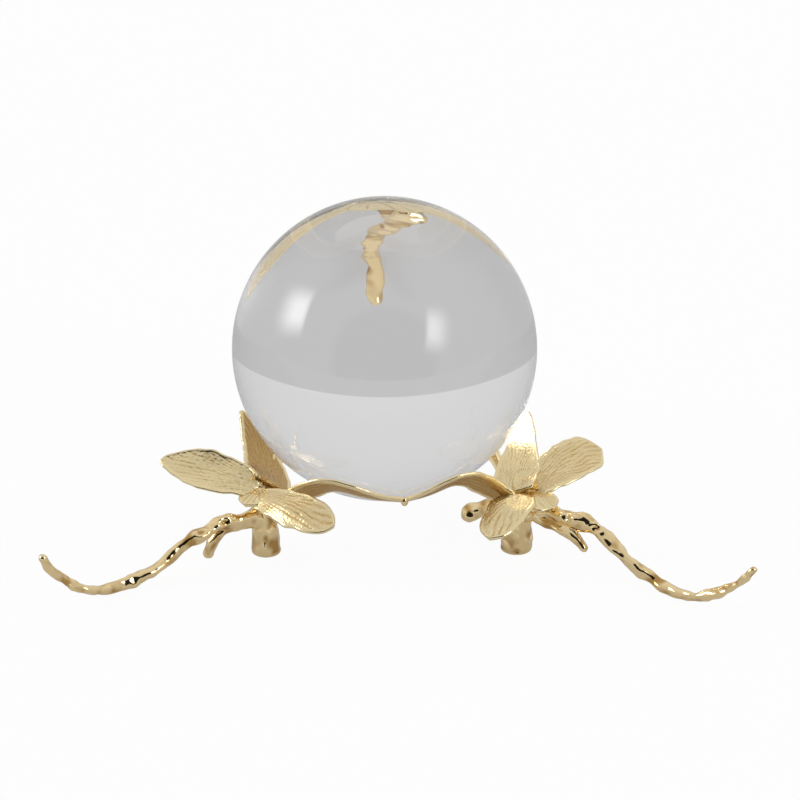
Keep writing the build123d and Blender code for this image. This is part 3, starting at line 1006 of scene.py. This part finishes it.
# ---- studio ----
TABLE_BACK = 0.262
TABLE_EDGE = 0.004
FRONT_GLOW = (-0.26, -0.12)
FRONT_GLOW_STRENGTH = 0.95
SHADED_SHARE = 0.45
SHADED_GREY = (0.66, 0.66, 0.66, 1)
PALE_GREY = (0.9, 0.9, 0.9, 1)
FLOOR_GLOW_SHARE = 0.95
FLOOR_RADIUS = 12.0
TABLE_GREY = (0.56, 0.557, 0.56, 1)
WALL_GREY = (0.705, 0.705, 0.71, 1)
WHITE = (1, 1, 1, 1)


def studio_floor():
    """Pale floor. What the ball and the gold mirror of it is a grey table and a lighter wall."""
    turn = np.linspace(0, 2 * PI, 129)[:-1]
    ring = np.stack((np.cos(turn), np.sin(turn), turn * 0), axis=1) * FLOOR_RADIUS / MM
    floor = add_mesh("studio_floor", ring, [tuple(range(len(ring)))])
    material = bpy.data.materials.new("studio_floor")
    tree = Tree(material)
    place = tree.add("ShaderNodeTexCoord").outputs["Object"]
    back = tree.add("ShaderNodeSeparateXYZ", links={0: place}).outputs[1]
    outside = tree.remap(back, TABLE_BACK - TABLE_EDGE, TABLE_BACK + TABLE_EDGE, 0.0, 1.0)
    greys = {6: TABLE_GREY, 7: WALL_GREY}
    grey = tree.add("ShaderNodeMix", greys, {0: outside}, data_type="RGBA").outputs[2]
    front = tree.remap(back, *FRONT_GLOW, FRONT_GLOW_STRENGTH, 0.0)
    glowing = {"Color": grey, "Strength": tree.sum(front, 1.0)}
    own = tree.add("ShaderNodeEmission", None, glowing).outputs[0]
    shaded = tree.add("ShaderNodeBsdfDiffuse", {"Color": SHADED_GREY}).outputs[0]
    shading_ends = (TABLE_BACK - 2 * TABLE_EDGE, TABLE_BACK - TABLE_EDGE)
    share = tree.remap(back, *shading_ends, SHADED_SHARE, 0.0)
    mirrored = tree.add("ShaderNodeMixShader", None, {0: share, 1: own, 2: shaded}).outputs[0]
    lit = tree.add("ShaderNodeBsdfDiffuse", {"Color": PALE_GREY}).outputs[0]
    glow = tree.add("ShaderNodeEmission", {"Color": WHITE, "Strength": 1.0}).outputs[0]
    seen = tree.add("ShaderNodeMixShader", {0: FLOOR_GLOW_SHARE}, {1: lit, 2: glow}).outputs[0]
    direct = tree.add("ShaderNodeLightPath").outputs["Is Camera Ray"]
    surface = tree.add("ShaderNodeMixShader", None, {0: direct, 1: mirrored, 2: seen}).outputs[0]
    tree.add("ShaderNodeOutputMaterial", links={"Surface": surface})
    floor.data.materials.append(material)


def direction(azimuth, elevation):
    """Direction vector of an azimuth and an elevation in degrees."""
    flat = math.cos(math.radians(elevation))
    return turned((flat, 0, math.sin(math.radians(elevation))), azimuth)


# Light panels: azimuth, elevation, half width, fade, half height, strength. The way that a
# panel fades depends on which side of the camera it stands.
SOFT_BOXES = [(184.8, 27.5, 0.09, 0.42, 0.22, 8.0), (312.6, 31.0, 0.045, 0.30, 0.24, 6.0)]
CAMERA_AZIMUTH = 270
PANEL_LEAN = 27.0
PANEL_EDGE = 0.09
PANEL_FADE_POWER = 1.8


def soft_box(tree, way, azimuth, elevation, half_width, fade, half_height, strength):
    """Leaning light panel in the surround: sharp towards the front, fading away from it."""
    middle = direction(azimuth, elevation)
    sideways = unit(np.cross(UP, middle))
    level = sideways * (1 if azimuth < CAMERA_AZIMUTH else -1)
    upright = np.cross(middle, sideways)
    lean = math.radians(PANEL_LEAN)
    frontwards = math.cos(lean) * level + math.sin(lean) * upright
    upwards = math.cos(lean) * upright - math.sin(lean) * level
    ahead = tree.along(way, middle)
    u = tree.math("DIVIDE", tree.along(way, frontwards), ahead)
    v = tree.math("DIVIDE", tree.along(way, upwards), ahead)
    facing = tree.remap(ahead, 0.05, 0.2, 0.0, 1.0)
    sharp = tree.remap(u, half_width, half_width + PANEL_EDGE, 1.0, 0.0)
    fading = tree.remap(u, -half_width - fade, 0.0, 0.0, 1.0)
    faded = tree.math("POWER", fading, PANEL_FADE_POWER)
    tall = tree.remap(tree.math("ABSOLUTE", v), 0.2 * half_height, 1.5 * half_height, 1.0, 0.0)
    return tree.product(facing, sharp, faded, tall, strength)


# The dark side of the surround, behind the camera: its direction, and the shares of that
# direction between which it turns dark.
DARK_SIDE = (268.9, 15.0)
DARK_EDGE = (0.73, 0.82)
DARK_LIGHT = 0.03
WALL_LIGHT = (0.59, 0.705)
OVERHEAD_LIGHT = 0.05


def studio_world():
    """White surround. The ball and the gold mirror grey walls, light panels and a dark side."""
    world = bpy.data.worlds.new("studio")
    bpy.context.scene.world = world
    tree = Tree(world)
    way = tree.add("ShaderNodeTexCoord").outputs["Generated"]
    _, back, height = tree.add("ShaderNodeSeparateXYZ", links={0: way}).outputs
    overhead = tree.remap(height, 0.35, 0.95, 0.0, OVERHEAD_LIGHT)
    wall = tree.remap(back, -0.35, 0.35, *WALL_LIGHT)
    towards_dark = tree.along(way, direction(*DARK_SIDE))
    camera_side = tree.remap(towards_dark, *DARK_EDGE, 1.0, DARK_LIGHT)
    surround = tree.product(tree.sum(wall, overhead), camera_side)
    light = tree.sum(surround, *(soft_box(tree, way, *panel) for panel in SOFT_BOXES))
    mirrored = tree.add("ShaderNodeBackground", {"Color": WHITE}, {"Strength": light}).outputs[0]
    seen = tree.add("ShaderNodeBackground", {"Color": WHITE, "Strength": 1.0}).outputs[0]
    direct = tree.add("ShaderNodeLightPath").outputs["Is Camera Ray"]
    surface = tree.add("ShaderNodeMixShader", None, {0: direct, 1: mirrored, 2: seen}).outputs[0]
    tree.add("ShaderNodeOutputWorld", links={"Surface": surface})


CAMERA_FROM_BALL = (-0.0175, -0.918, 0.3962)
CAMERA_TILT = 65.5
CAMERA_TURN = -1.47
CAMERA_LENS = 114.24
CAMERA_SENSOR = 36.0


def studio_camera():
    """Camera a little above the ball, at portrait distance, looking slightly down."""
    data = bpy.data.cameras.new("camera")
    data.sensor_width = CAMERA_SENSOR
    data.lens = CAMERA_LENS
    data.clip_start = 0.05
    data.clip_end = 60.0
    camera = bpy.data.objects.new("camera", data)
    bpy.context.scene.collection.objects.link(camera)
    camera.location = BALL_CENTRE * MM + np.array(CAMERA_FROM_BALL)
    camera.rotation_euler = (math.radians(CAMERA_TILT), 0, math.radians(CAMERA_TURN))
    bpy.context.scene.camera = camera


studio_camera()
studio_floor()
studio_world()
bpy.context.scene.view_settings.view_transform = "Standard"

petal_gold = petal_gold_material()
twig_gold = twig_gold_material()

# Every casting draws its noise from seeds of its own.
seed = 100
for flower in FOOT_AZIMUTH:
    seed += 20
    nodes = [f"{flower}_{part}" for part in ("twig", "side_shoot", "inner_spur", "foot_post")]
    hand_over(branch(flower, seed), "stand", "twig_gold", twig_gold, *nodes)
    hand_over(hub_dome(flower, seed + 5), "stand", "petal_gold", petal_gold, f"{flower}_flower_hub")
    for step, (petal_name, petal) in enumerate(petal_table(flower).items()):
        piece = free_petal(flower, petal_name, petal, seed + 6 + step)
        hand_over(piece, "stand", "petal_gold", petal_gold, f"{flower}_{petal_name}")
    for step, (petal_name, petal) in enumerate(RING_PETALS[flower].items()):
        piece = ring_petal(flower, petal_name, petal, seed + 12 + step)
        hand_over(piece, "stand", "petal_gold", petal_gold, f"{flower}_{petal_name}")
for joint in RING_JOINT:
    seed += 3
    hand_over(braze_bead(joint, seed), "stand", "twig_gold", twig_gold, f"{joint}_ring_bead")
hand_over(crystal_sphere(), "ball", "crystal", crystal_material(), "crystal_ball")
